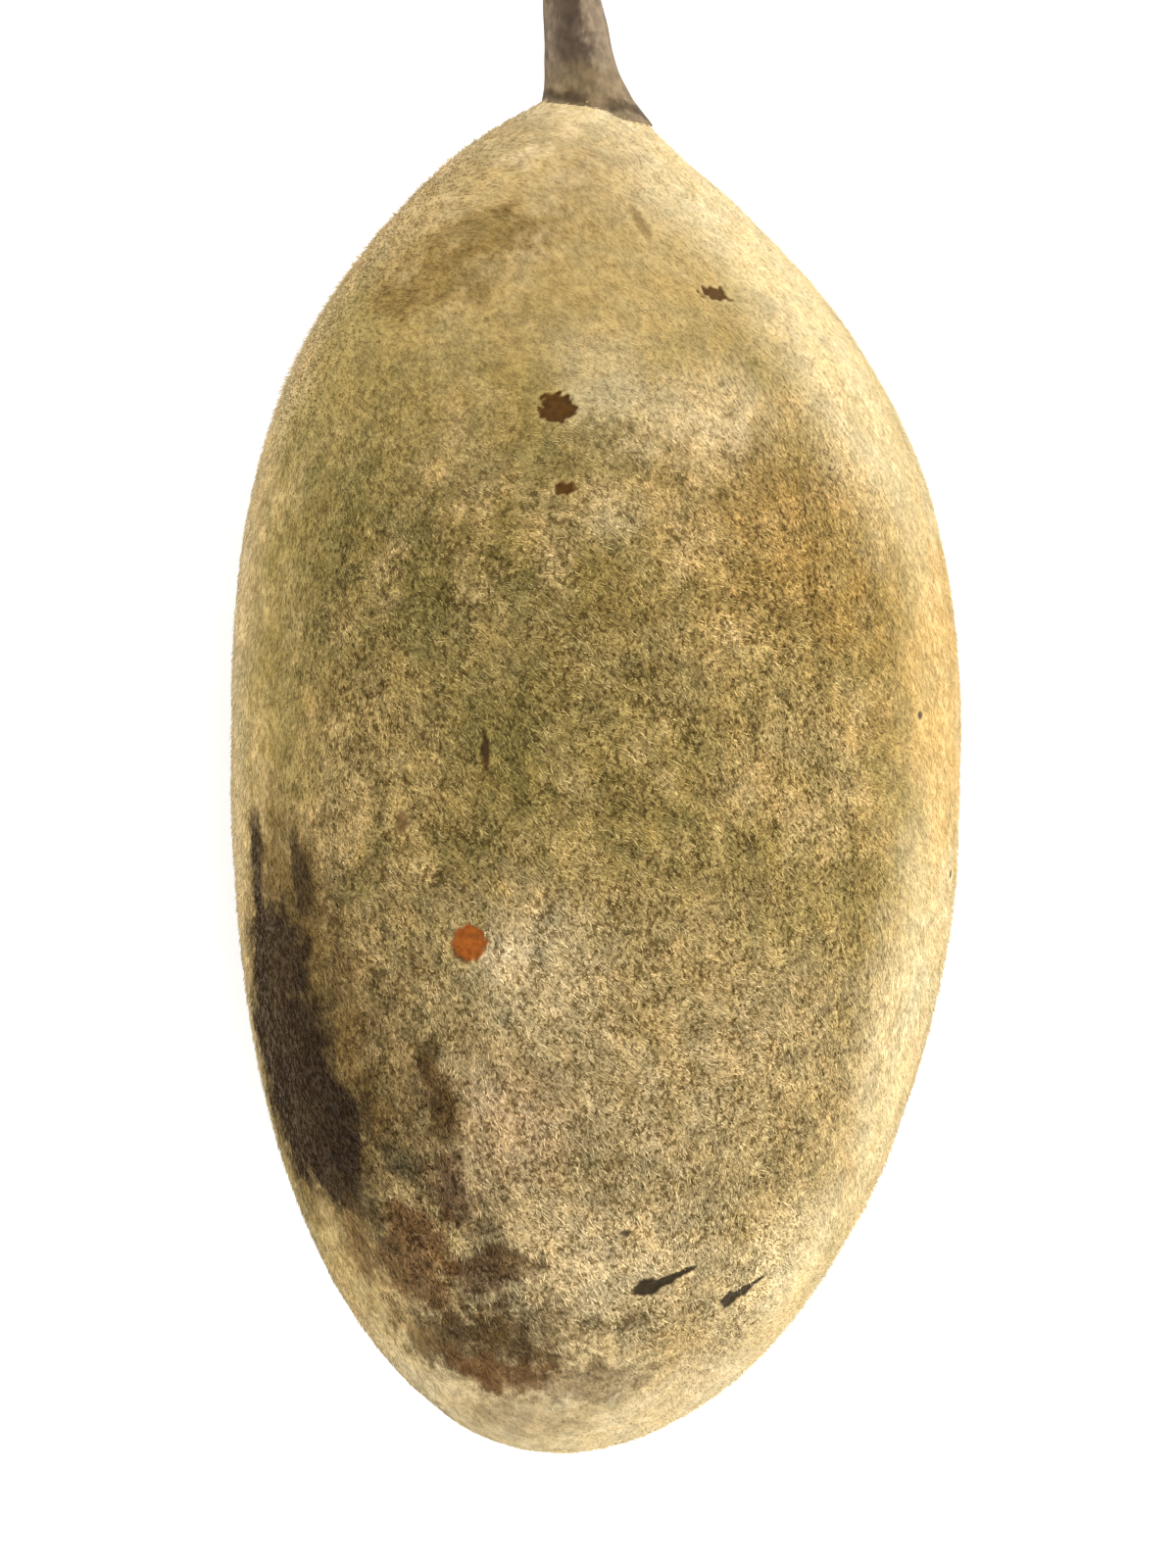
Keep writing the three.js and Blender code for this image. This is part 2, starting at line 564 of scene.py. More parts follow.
# Wide, soft changes of colour, which the felt shows too. Each costs the two materials a few nodes. The
# pod came out black with 78 of them and comes out well with 72, so one more needs a test.
BROAD_PATCHES = (
    # The side that lies upwards, from the neck down.
    Patch(-36, 82, 20, 12, Dye.TAN, 0.75, 0.5, 0.7),
    Patch(62, 80, 14, 18, Dye.CREAM, 0.8, 0.6, 0.6),
    Patch(-2, 65, 22, 8, Dye.TAN, 0.7, 0.6, 0.8),
    Patch(-22, 42, 6, 6, Dye.SAND, 0.5, 0.7, 0.9),
    Patch(7, 49, 8, 6, Dye.BONE, 0.5, 0.7, 0.9),
    Patch(8, 15, 9, 8, Dye.SAND, 0.8, 0.7, 0.9),
    Patch(-24, 76, 8, 4.5, Dye.BROWN, 0.8, 0.6, 1.1),
    Patch(-39, 69, 8.5, 5, Dye.BROWN, 0.9, 0.6, 1.1),
    Patch(14, 72, 8, 6, Dye.SAND, 0.5, 0.7, 0.8),
    Patch(3, 56, 6, 6, Dye.BONE, 0.4, 0.7, 0.8),
    Patch(24, 49, 8, 8, Dye.BONE, 0.55, 0.7, 0.8),
    Patch(-7, 43, 11, 6, Dye.GREEN, 0.45, 0.8, 0.9),
    Patch(-48, 34, 15, 13, Dye.GREEN, 0.9, 0.7, 0.8),
    Patch(34, 34, 17, 13, Dye.OCHRE, 0.7, 0.7, 0.9),
    Patch(3, 36, 5, 4, Dye.BONE, 0.4, 0.7, 0.8),
    Patch(7, 24, 4.5, 3, Dye.OCHRE, 0.45, 0.6, 1.0),
    Patch(12, 30, 7, 5, Dye.SAND, 0.5, 0.7, 0.9),
    Patch(-12, 12, 26, 25, Dye.GREEN, 0.6, 0.6, 0.8),
    Patch(-26, 24, 5, 5, Dye.MOSS, 0.55, 0.8, 1.0),
    Patch(-12, 27, 4, 4, Dye.MOSS, 0.5, 0.8, 1.0),
    Patch(-15, 6, 7, 9, Dye.MOSS, 0.3, 0.8, 1.0),
    Patch(-35, 4, 10, 12, Dye.SAND, 0.5, 0.8, 1.0),
    Patch(30, 10, 8, 9, Dye.SAND, 0.4, 0.8, 0.9),
    Patch(22, -1, 5, 4, Dye.SAND, 0.6, 0.8, 0.9),
    Patch(52, 20, 10, 16, Dye.OCHRE, 0.5, 0.7, 0.8),
    # The flanks, whose felt is pale and smooth: their pale cream is partly the felt's own paler colour and
    # partly painted rim light, strongest on the right flank.
    Patch(86, 2, 20, 86, Dye.CREAM, 0.65, 0.5, 0.6),
    Patch(72, 12, 12, 24, Dye.GOLD, 0.7, 0.5, 0.7),
    Patch(58, 56, 11, 22, Dye.CREAM, 0.7, 0.6, 0.6),
    Patch(62, -38, 9, 24, Dye.CREAM, 0.6, 0.7, 0.7),
    Patch(-88, 14, 12, 72, Dye.BONE, 0.55, 0.5, 0.5),
    # The lower half.
    Patch(2, -46, 40, 26, Dye.GREIGE, 0.7, 0.5, 0.7),
    Patch(10, -25, 10, 9, Dye.SAND, 0.5, 0.8, 1.0),
    Patch(-9, -24, 8, 9, Dye.BONE, 0.5, 0.7, 0.9),
    Patch(-14, -23, 3.5, 3.5, Dye.BONE, 0.8, 0.6, 0.8),
    Patch(-14, -46, 8, 8, Dye.ROSE, 0.6, 0.7, 0.8),
    Patch(44, -50, 12, 10, Dye.SAND, 0.45, 0.7, 0.9),
    Patch(4, -66, 16, 8, Dye.BONE, 0.55, 0.7, 0.8),
    Patch(52, -66, 9, 10, Dye.CREAM, 0.7, 0.6, 0.7),
    # The brown corner and the stain beside it.
    Patch(-36, -36, 8, 12, Dye.HALO, 0.55, 0.6, 1.1),
    Patch(-38, -50, 10, 8, Dye.HALO, 0.6, 0.6, 1.2),
    Patch(-60, -34, 16, 30, Dye.HALO, 0.85, 0.3, 0.4),
    Patch(-68, -11, 2.6, 9, Dye.STAIN, 0.9, 0.4, 0.6),
    Patch(-53, -13, 1.9, 6, Dye.STAIN, 0.75, 0.4, 0.5, 14),
    Patch(-64, -24, 9, 8.5, Dye.STAIN, 0.92, 0.3, 0.7),
    Patch(-64, -35, 12, 10, Dye.STAIN, 0.95, 0.3, 0.55),
    Patch(-61, -46, 13, 9.5, Dye.STAIN, 0.95, 0.3, 0.55),
    Patch(-56, -53, 7, 6, Dye.STAIN, 0.9, 0.3, 0.8),
    Patch(-27, -41, 2.2, 7, Dye.UMBER, 0.9, 0.4, 0.6, 10),
    Patch(-36, -51.5, 3.0, 3.4, Dye.SLATE, 0.85, 0.5, 0.8),
    Patch(-25, -55.5, 4.2, 5.5, Dye.PLUM, 0.9, 0.4, 1.0, 20),
    Patch(-19, -61, 2.0, 2.5, Dye.INK, 0.6, 0.6, 1.0),
    Patch(-15, -64.8, 6, 2.6, Dye.UMBER, 0.85, 0.4, 1.2),
    Patch(-22, -67, 5, 4.5, Dye.PLUM, 0.9, 0.4, 1.0),
    Patch(-40, -65, 9, 9, Dye.RUSSET, 0.85, 0.4, 1.2),
    Patch(-47, -60, 3, 5, Dye.SLATE, 0.6, 0.6, 1.0),
    Patch(-30, -77, 11, 6, Dye.UMBER, 0.85, 0.4, 1.4, -10),
    Patch(-12, -76, 9, 5, Dye.UMBER, 0.6, 0.5, 1.4),
    Patch(-22, -81, 7, 3, Dye.RUSSET, 0.85, 0.4, 1.2, -14),
    Patch(4, -82, 7, 3.5, Dye.PLUM, 0.5, 0.6, 1.4),
    Patch(-20, -88, 9, 4, Dye.PLUM, 0.35, 0.7, 1.2),
    Patch(-62, -72, 9, 8, Dye.TAN, 0.4, 0.7, 0.8),
    # The hidden side.
    Patch(172, 14, 28, 30, Dye.GREEN, 0.6, 0.6, 0.8),
    Patch(150, 44, 14, 11, Dye.OCHRE, 0.55, 0.7, 0.9),
    Patch(205, 52, 9, 12, Dye.BONE, 0.5, 0.7, 0.8),
    Patch(196, 70, 10, 5, Dye.BROWN, 0.45, 0.7, 0.9),
    Patch(132, -12, 9, 14, Dye.SAND, 0.5, 0.7, 0.8),
    Patch(216, -30, 12, 22, Dye.HALO, 0.6, 0.5, 0.7),
    Patch(212, -36, 5, 13, Dye.STAIN, 0.85, 0.3, 0.6),
    Patch(160, -46, 24, 16, Dye.GREIGE, 0.6, 0.6, 0.8),
    Patch(150, -70, 9, 6, Dye.PLUM, 0.6, 0.6, 1.0),
    Patch(118, -58, 6, 8, Dye.ROSE, 0.5, 0.7, 0.8),
    Patch(-112, -8, 8, 14, Dye.OLIVE, 0.5, 0.7, 0.9),
)

# Small, crisp marks: bare scabs, ticks, scratches and dots.
SHARP_PATCHES = (
    Patch(-20, -21.4, 2.5, 2.6, Dye.RUST, 1.0, 0.06, 0.3, felt=0.0, pit=0.45),
    Patch(-21.6, -22.9, 1.5, 0.8, Dye.CHAR, 0.9, 0.4, 0.5, -35, felt=0.0, pit=0.2),
    Patch(-5, 50.7, 2.5, 2.3, Dye.SCAB, 1.0, 0.06, 0.4, felt=0.0, pit=0.45),
    Patch(-4, 39.6, 1.3, 1.0, Dye.SCAB, 1.0, 0.2, 0.5, felt=0.0, pit=0.2),
    Patch(32, 67, 2.4, 1.2, Dye.SCAB, 1.0, 0.2, 0.7, -8, felt=0.0, pit=0.2),
    Patch(-17, 4.6, 0.6, 2.5, Dye.CHAR, 1.0, 0.2, 0.4, 4, felt=0.0, pit=0.15),
    Patch(-31, -5, 1.0, 1.8, Dye.UMBER, 0.9, 0.3, 0.5, -20, felt=0.1, pit=0.15),
    Patch(20, 77, 1.0, 3.8, Dye.HALO, 0.75, 0.5, 0.5, 8, felt=0.15),
    Patch(16, -68.6, 2.0, 1.5, Dye.INK, 1.0, 0.15, 0.35, 14, felt=0.0, pit=0.15),
    Patch(20, -67.7, 2.6, 0.8, Dye.INK, 1.0, 0.15, 0.3, 24, felt=0.0, pit=0.15),
    Patch(24, -66.4, 1.8, 0.5, Dye.INK, 1.0, 0.2, 0.3, 26, felt=0.0, pit=0.1),
    Patch(39, -70.8, 1.5, 1.3, Dye.INK, 1.0, 0.15, 0.35, 20, felt=0.0, pit=0.15),
    Patch(42, -69.7, 2.2, 0.9, Dye.INK, 1.0, 0.15, 0.3, 34, felt=0.0, pit=0.15),
    Patch(45, -68.3, 1.8, 0.4, Dye.INK, 1.0, 0.2, 0.3, 38, felt=0.0, pit=0.1),
    Patch(61, 9.4, 0.7, 0.6, Dye.INK, 0.9, 0.3, 0.3, felt=0.0),
    Patch(78, -12.5, 0.8, 0.7, Dye.INK, 1.0, 0.3, 0.3, felt=0.0),
    Patch(9, -60.9, 0.8, 0.6, Dye.INK, 0.9, 0.3, 0.4, felt=0.0),
    Patch(196, 28, 2.2, 2.0, Dye.SCAB, 1.0, 0.05, 0.2, felt=0.0, pit=0.4),
    Patch(142, 60, 1.4, 1.0, Dye.SCAB, 0.95, 0.2, 0.4, felt=0.0, pit=0.2),
    Patch(163, -28, 0.5, 2.6, Dye.CHAR, 0.9, 0.2, 0.3, 14, felt=0.0, pit=0.15),
    Patch(96, -34, 0.9, 0.8, Dye.INK, 0.9, 0.3, 0.4, felt=0.0),
    Patch(-104, 36, 1.0, 0.8, Dye.SCAB, 0.9, 0.3, 0.4, felt=0.0),
)


# ---------------------------------------------------------------------------------------------
# Finishes
# ---------------------------------------------------------------------------------------------


@dataclass(frozen=True)
class Zone:
    """A stretch of the pod that takes on another colour.

    Attributes:
        dye: its colour.
        start: where along the pod it starts.
        full: where it is full.
        share: how much of its colour it then shows.
    """

    dye: Dye
    start: float
    full: float
    share: float


ZONES = (
    Zone(Dye.STRAW, 58 * MM, 90 * MM, 0.85),  # the neck
    Zone(Dye.CREAM, 84 * MM, 96 * MM, 0.8),  # the crown round the stalk
    Zone(Dye.BONE, -60 * MM, -86 * MM, 0.7),  # the blossom end
)


@dataclass(frozen=True)
class Swing:
    """Two tints that multiply a colour: one where a noise is low and one where it is high."""

    low: Colour
    high: Colour

    def tint(self, graph: Graph, share: Value) -> Value:
        """The tint at each point: 0 gives the low one and 1 the high one."""
        return graph.mix(self.low, self.high, share)


@dataclass(frozen=True)
class FeltTone:
    """The colour of the pod's coat from place to place, shared by the skin and the hairs.

    Attributes:
        form: the pod's form.
        cloud: the size of the widest changes from olive to tan.
        mottle: the size of the blotches, which are a little drawn out along the pod.
        bloom: the size of the warm and cool blooms, against the blotches.
        fleck: the size of the flecks.
        pore: the size of the dark gaps between tufts.
        speck: how far the larger dark specks are apart.
        fray: how strongly noise pushes the patches' edges in and out.
        drift: how far the clouds push the zones' edges along the pod.
        jitter: how far the blotches push them.
        flank_smooth: how upright, 0 to 1, the surface is where the felt turns wholly smooth.
        flank_coarse: how upright it is where the felt turns wholly coarse.
        neck_smooth: where along the pod the neck is wholly smooth.
        neck_coarse: where it is wholly coarse.
        end_smooth: where the blossom end is wholly smooth.
        end_coarse: where it is wholly coarse.
        calm: how much of the mottling smooth felt still shows.
        mottle_swing: the tints of the blotches.
        bloom_swing: the tints of the blooms.
        fleck_swing: the tints of the flecks.
    """

    form: PodForm
    cloud: float = 24 * MM
    mottle: float = 9 * MM
    bloom: float = 0.6
    fleck: float = 2.4 * MM
    # pore: the size of the gaps between tufts that are darkened with painted shade.
    pore: float = 0.6 * MM
    speck: float = 3.6 * MM
    fray: float = 5.0
    drift: float = 30 * MM
    jitter: float = 20 * MM
    flank_smooth: float = 0.4
    flank_coarse: float = 0.78
    neck_smooth: float = 74 * MM
    neck_coarse: float = 24 * MM
    end_smooth: float = -90 * MM
    end_coarse: float = -70 * MM
    calm: float = 0.6
    mottle_swing: Swing = Swing((0.86, 0.86, 0.82), (1.09, 1.08, 1.07))
    bloom_swing: Swing = Swing((1.01, 0.98, 0.90), (0.99, 1.01, 1.05))
    fleck_swing: Swing = Swing((0.76, 0.75, 0.70), (1.24, 1.23, 1.24))

    def paint(self, finish: Finish) -> Value:
        """Builds the coat's colour in a material.

        Args:
            finish: the material's graph.

        Returns:
            The colour, before the gaps and the hairs' own shades.
        """
        place = finish.place
        drawn = place * (1.0, 0.8, 1.0)
        clouds = finish.noise(place, self.cloud, 3.0, 0.55)
        mottles = finish.noise(drawn, self.mottle, 4.0, 0.65)
        blooms = finish.noise(drawn + (0.3, 0.1, 0.2), self.mottle * self.bloom, 4.0, 0.65)
        flecks = finish.noise(drawn + (0.1, 0.2, 0.4), self.fleck, 3.0, 0.65)
        wobble = (mottles * 0.4 + blooms * 0.35 + flecks * 0.25 - 0.5) * self.fray
        calm = self.coarse(finish, place).span(self.calm, 1.0)
        base = finish.mix(Dye.OLIVE.value, Dye.TAN.value, (clouds * 0.6 + mottles * 0.4).step(0.42, 0.6))
        along = place.axis("Y") + (clouds - 0.5) * self.drift + (mottles - 0.5) * self.jitter
        for zone in ZONES:
            base = finish.mix(base, zone.dye.value, along.step(zone.start, zone.full) * zone.share)
        for patch in BROAD_PATCHES:
            base = finish.mix(base, patch.dye.value, patch.mask(finish, self.form, wobble))
        swing = (mottles.step(0.34, 0.66) - 0.5) * calm + 0.5
        base = base * self.mottle_swing.tint(finish, swing)
        base = base * self.bloom_swing.tint(finish, blooms.step(0.36, 0.64))
        swing = (flecks.step(0.33, 0.67) - 0.5) * calm + 0.5
        return base * self.fleck_swing.tint(finish, swing)

    def coarse(self, graph: Graph, place: Value) -> Value:
        """How coarse the felt is.

        Args:
            graph: the material's or the modifier's graph.
            place: where it is read.

        Returns:
            The coarseness: 0 on the flanks, the neck and the blossom end, up to 1 elsewhere.
        """
        off = place - (0.0, 0.0, self.form.axis_height)
        round_way = off * (1.0, 0.0, 1.0)
        upright = (off.axis("Z") / round_way.length()).apply("ABSOLUTE")
        end = off.axis("Y").step(self.end_smooth, self.end_coarse)
        flank = upright.step(self.flank_smooth, self.flank_coarse)
        return flank * off.axis("Y").step(self.neck_smooth, self.neck_coarse) * end

    def gap_shade_and_specks(self, finish: Finish, coarse: Value) -> Value:
        """The painted shade of the gaps between the tufts of felt, crowded together in places, with larger
        dark specks.

        Args:
            finish: the material's graph.
            coarse: how coarse the felt is.

        Returns:
            The gaps, from 0 on a tuft to 1 in a gap.
        """
        slant = finish.value("ShaderNodeMapping", {}, {
            "Vector": finish.place, "Rotation": (0.0, 0.0, 0.6), "Scale": (1.0, 0.7, 1.0)})
        gaps = finish.noise(slant, self.pore, 2.0, 0.7)
        crowds = finish.noise(finish.place, self.mottle * 0.5, 3.0, 0.6)
        # Painted shade: small gaps between tufts, which are darkened; the cells below add larger dark
        # specks.
        small = (gaps + (crowds - 0.5) * 0.35).step(0.47, 0.4) * coarse.span(0.1, 1.0)
        cells = finish.node("ShaderNodeTexVoronoi", {}, {"Vector": finish.place, "Scale": 1 / self.speck})
        off = Value(finish, cells.outputs["Distance"]) + (gaps - 0.5) * 0.5
        chosen = Value(finish, cells.outputs["Color"]).axis("X").step(0.55, 0.6)
        return small.maximum(off.step(0.15, 0.09) * chosen * coarse.span(0.3, 1.0))


@dataclass(frozen=True)
class SkinFinish:
    """The felted shell between the hairs: gaps darkened with painted shade, pale down and a dusty sheen.

    Attributes:
        tone: the felt's tone.
        gap: the size of the gaps between tufts of down.
        down: the size of the tufts.
        relief: how high the tufts stand.
        smooth_gap_shade: the painted shade of the gaps where the felt is smooth.
        coarse_gap_shade: the painted shade of the gaps where it is coarse.
        gap_shade_tint: the tint that darkens the gaps between tufts as painted shade, and the dark specks.
    """

    tone: FeltTone
    gap: float = 0.42 * MM
    down: float = 0.9 * MM
    relief: float = 0.25 * MM
    smooth_gap_shade: Colour = (0.84, 0.83, 0.78)
    coarse_gap_shade: Colour = (0.34, 0.3, 0.22)
    gap_shade_tint: Colour = (0.28, 0.25, 0.18)

    def material(self) -> bpy.types.Material:
        """Builds the material.

        Returns:
            The material.
        """
        finish = Finish("pod_skin", {
            "Roughness": 0.9,
            "Specular IOR Level": 0.12,
            "Sheen Weight": 0.25,
            "Sheen Roughness": 0.45,
            "Sheen Tint": Dye.CREAM.value,
        })
        tone = self.tone.paint(finish)
        coarse = self.tone.coarse(finish, finish.place)
        gap_shade_and_specks = self.tone.gap_shade_and_specks(finish, coarse)
        gaps = finish.noise(finish.place, self.gap, 2.0, 0.6)
        down = finish.noise(finish.place, self.down, 2.0, 0.6)
        light = (gaps * 0.7 + down * 0.3).step(0.36, 0.66)
        # Painted shade: the gaps between tufts of down, the low places of the relief, are darkened, most
        # where the felt is coarse.
        deep = finish.mix(self.smooth_gap_shade, self.coarse_gap_shade, coarse)
        colour = finish.mix(tone * deep, tone * 0.95, light)
        # Painted shade: the skin in the gaps between tufts is darkened further, and the dark specks too.
        colour = finish.mix(colour, tone * self.gap_shade_tint, gap_shade_and_specks)
        marks = finish.node("ShaderNodeAttribute", {"attribute_name": MARKS})
        scar = Value(finish, marks.outputs["Color"]) * down.step(0.3, 0.7).span(0.75, 1.3)
        colour = finish.mix(colour, scar, Value(finish, marks.outputs["Alpha"]))
        return finish.dress(colour, relief=gaps * 0.7 + down * 0.3, depth=self.relief)


@dataclass(frozen=True)
class HairFinish:
    """The felt hairs, each a little paler or darker than its neighbours.

    Attributes:
        tone: the felt's tone.
        glint_gain: how much paler the hairs that catch the light are.
        glint_add: what is added to them, so that they are also whiter.
        gap_shade_tint: the painted shade of hairs over a gap between tufts, and their tint over a dark
            speck.
    """

    tone: FeltTone
    glint_gain: float = 1.5
    glint_add: Colour = (0.05, 0.05, 0.045)
    gap_shade_tint: Colour = (0.3, 0.26, 0.16)

    def material(self) -> bpy.types.Material:
        """Builds the material.

        Returns:
            The material.
        """
        finish = Finish("felt_hair", {
            "Roughness": 0.8,
            "Specular IOR Level": 0.12,
        })
        tone = self.tone.paint(finish)
        coarse = self.tone.coarse(finish, finish.place)
        gap_shade_and_specks = self.tone.gap_shade_and_specks(finish, coarse)
        shade = finish.value("ShaderNodeAttribute", {"attribute_name": SHADE}, output="Fac")
        plain = tone * (1 + (shade - 0.4) * coarse.span(0.25, 0.9))
        glint = shade.step(0.8, 0.95) * coarse
        bright = finish.mix(plain, tone * self.glint_gain + self.glint_add, glint)
        # Painted shade: hairs over a gap between tufts are darkened, as are those over a dark speck.
        return finish.dress(finish.mix(bright, tone * self.gap_shade_tint, gap_shade_and_specks))


class Bark(Enum):
    """The colours of the stalk's bark and of the wood in its cut, with painted shade for its middle band
    and its crease and painted light for its right side.
    """

    DARK = display(74, 60, 44)
    PALE = display(112, 97, 77)
    SHADOW = display(56, 43, 32)
    LIT_SIDE = display(120, 104, 84)
    WARM = display(114, 96, 66)
    CREASE_SHADE = display(50, 36, 18)
    WOOD = display(196, 168, 122)
    GRAIN = display(150, 120, 80)


@dataclass(frozen=True)
class BarkFinish:
    """The stalk's mottled, grey-brown bark and the paler wood of its cut.

    Attributes:
        form: the stalk's form.
        mottle: the size of the mottles.
        grain: the width of the grain, which runs along the stalk.
        blotch: the size of the small blotches.
        warm_reach: how far past the seat the warmer foot of the stalk reaches.
        crease_at: how far past the seat the painted shade of the crease lies.
        relief: how high the grain stands.
        cut_edge: how far before the cut the bark ends.
    """

    form: "StalkForm"
    mottle: float = 2.6 * MM
    grain: float = 0.8 * MM
    blotch: float = 1.3 * MM
    warm_reach: float = 9 * MM
    crease_at: float = 0.9 * MM
    relief: float = 0.3 * MM
    cut_edge: float = -0.25 * MM

    def material(self) -> bpy.types.Material:
        """Builds the material.

        Returns:
            The material.
        """
        finish = Finish("stalk_bark", {"Roughness": 0.8, "Specular IOR Level": 0.2})
        place = finish.place
        mottle = finish.noise(place * (1.0, 0.6, 1.0), self.mottle, 3.0, 0.6)
        grain = finish.noise(place * (1.0, 0.16, 1.0), self.grain, 2.0, 0.6)
        past = place.axis("Y") - self.form.seat_at
        side = (place.axis("X") - self.form.seat_x + past * self.form.lean) / self.form.shank
        cloud = mottle * 0.7 + grain * 0.3
        blotch = finish.noise(place * (1.0, 0.8, 1.0) + (0.2, 0.1, 0.3), self.blotch, 2.0, 0.6)
        bark = finish.mix(Bark.DARK.value, Bark.PALE.value, cloud.step(0.4, 0.64))
        band = (side + 0.1 + (mottle - 0.5) * 2.0).apply("ABSOLUTE").step(0.75, 0.2)
        bark = finish.mix(bark, Bark.SHADOW.value, band * 0.8)
        # Painted light: the stalk's right side, towards the key light, is painted paler.
        right = (side + (mottle - 0.5) * 2.6).step(0.3, 0.95)
        bark = finish.mix(bark, Bark.LIT_SIDE.value, right * 0.7)
        low = (past + (mottle - 0.5) * (9 * MM)).step(self.warm_reach, 2 * MM)
        bark = finish.mix(bark, Bark.WARM.value, low * 0.6)
        # Painted shade: a dark wedge in the crease where the stalk leaves the pod.
        seat = past + side * (0.7 * MM) + (mottle - 0.5) * (3.5 * MM)
        crease = (seat - self.crease_at).apply("ABSOLUTE").step(1.3 * MM, 0.2 * MM)
        gap = (side - 0.45).apply("ABSOLUTE").step(0.1, 0.6)
        bark = finish.mix(bark, Bark.CREASE_SHADE.value, crease * gap * 0.75)
        bark = bark * blotch.step(0.36, 0.64).span(0.8, 1.18)
        beyond = (place - tuple(self.form.cut_middle)).dot(tuple(self.form.cut_way))
        wood = finish.mix(Bark.WOOD.value, Bark.GRAIN.value, grain.step(0.4, 0.6))
        cut = beyond.step(self.cut_edge, self.cut_edge / 5)
        return finish.dress(finish.mix(bark, wood, cut), relief=grain * 0.6 + mottle * 0.4,
                            depth=self.relief)


# ---------------------------------------------------------------------------------------------
# Pieces
# ---------------------------------------------------------------------------------------------


def as_object(bm: bmesh.types.BMesh, name: str) -> bpy.types.Object:
    """Turns a bmesh into a smooth-shaded object of the scene.

    Args:
        bm: the shape, which is freed.
        name: the new object's name.

    Returns:
        The object.
    """
    for face in bm.faces:
        face.smooth = True
    mesh = bpy.data.meshes.new(name)
    bm.to_mesh(mesh)
    bm.free()
    made = bpy.data.objects.new(name, mesh)
    bpy.context.scene.collection.objects.link(made)
    return made


def lathe(outline: Iterable[tuple[float, float]], steps: int) -> bmesh.types.BMesh:
    """Spins an outline about the Y axis into a closed shape.

    Args:
        outline: radius and place along Y, from one end on the axis to the other.
        steps: how many steps the full turn has.

    Returns:
        The shape.
    """
    # Corner by corner, because the faces of bmesh.ops.spin come in another order on each run, and
    # where the hairs are planted depends on that order.
    bm = bmesh.new()
    turns = [math.tau * step / steps for step in range(steps)]
    rings = []
    for radius, along in outline:
        around = turns if radius > WELD else turns[:1]
        rings.append([bm.verts.new((radius * math.sin(turn), along, radius * math.cos(turn)))
                      for turn in around])
    for low, high in zip(rings, rings[1:]):
        for near in range(steps):
            far = (near + 1) % steps
            corners = (low[near % len(low)], low[far % len(low)],
                       high[far % len(high)], high[near % len(high)])
            bm.faces.new(dict.fromkeys(corners))
    bmesh.ops.recalc_face_normals(bm, faces=bm.faces)
    return bm


def put_on_frame(piece: bpy.types.Object, material: bpy.types.Material, node: str) -> None:
    """Gives a piece its material and its place in the frame, and reports it.

    Args:
        piece: the piece.
        material: its material.
        node: the solid that it stands in for.
    """
    piece.data.materials.clear()
    piece.data.materials.append(material)
    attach(piece, "root")
    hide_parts(node)
    log.info("%s: %d faces for %s", piece.name, len(piece.data.polygons), node)


